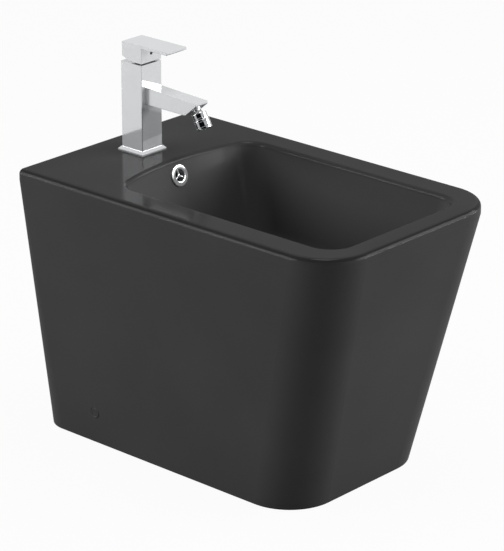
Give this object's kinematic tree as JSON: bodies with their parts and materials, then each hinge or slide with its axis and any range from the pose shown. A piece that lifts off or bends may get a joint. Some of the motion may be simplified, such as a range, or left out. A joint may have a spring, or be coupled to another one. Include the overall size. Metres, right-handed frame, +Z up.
{
  "type": "bidet",
  "caption": "Floor-standing back-to-wall bidet with a tapering rectangular ceramic pedestal, a deep bowl and a square single-lever mixer with a swivel nozzle.",
  "frame": {"origin": "on the floor under the middle of the ceramic's width and depth", "axes": "+Z up, -Y towards the user, +Y towards the wall, +X to the right as the user faces the wall"},
  "size_m": [0.352, 0.57, 0.5484],
  "materials": {
    "glaze": "satin black glaze",
    "chrome": "polished",
    "brass": "machined",
    "steel": "zinc plated",
    "black_plastic": "matte",
    "white_plastic": "matte",
    "rubber": "matte"
  },
  "bodies": {
    "fixed": {"ceramic_body": "glaze", "overflow_ring": "chrome", "fixing_caps": "black_plastic", "fixing_sleeves": "white_plastic", "side_fixing_screws": "steel", "floor_brackets": "white_plastic", "waste_body": "chrome", "waste_back_nut": "brass", "trap_body": "chrome", "trap_cup": "chrome", "trap_outlet_pipe": "chrome", "tap_base_plate": "chrome", "tap_body": "chrome", "cartridge_housing": "black_plastic", "cartridge_nut": "brass", "fixing_stud": "steel", "horseshoe_rubber": "rubber", "horseshoe_plate": "steel", "stud_nut": "brass"},
    "rotor": {"cartridge_rotor": "black_plastic", "spindle_pin": "steel"},
    "lever": {"spindle": "brass", "lever_handle": "chrome", "handle_grub_screw": "steel"},
    "carrier": {"disc_carrier": "black_plastic"},
    "swivel": {"neck_ring": "chrome"},
    "tilt": {"ball_liner": "rubber"},
    "spin": {"nozzle_collar": "chrome", "aerator_housing": "chrome", "aerator_insert": "black_plastic"},
    "plug": {"waste_plug": "chrome"}
  },
  "joints": [
    {"name": "lever_turn", "type": "hinge", "parent": "fixed", "child": "rotor", "pos_m": [0, 0.215, 0.508], "axis": [0, 0, 1], "range_deg": [-45, 45]},
    {"name": "lever_lift", "type": "hinge", "parent": "rotor", "child": "lever", "pos_m": [0, 0.215, 0.508], "axis": [-1, 0, 0], "range_deg": [0, 16]},
    {"name": "carrier_slide", "type": "slide", "parent": "rotor", "child": "carrier", "axis": [0, -1, 0], "range_m": [0, 0.0025]},
    {"name": "nozzle_swivel", "type": "hinge", "parent": "fixed", "child": "swivel", "pos_m": [0, 0.10434, 0.46361], "axis": [0, -0.6428, -0.766], "continuous": true},
    {"name": "nozzle_tilt", "type": "hinge", "parent": "swivel", "child": "tilt", "pos_m": [0, 0.10434, 0.46361], "axis": [1, 0, 0], "range_deg": [-27, 5]},
    {"name": "nozzle_spin", "type": "hinge", "parent": "tilt", "child": "spin", "pos_m": [0, 0.10434, 0.46361], "axis": [0, -0.4848, -0.8746], "continuous": true},
    {"name": "waste_plug_press", "type": "slide", "parent": "fixed", "child": "plug", "axis": [0, 0, -1], "range_m": [0, 0.008]}
  ],
  "couplings": [
    {"joint": "carrier_slide", "follows": "lever_lift", "m_per_rad": 0.008883}
  ]
}
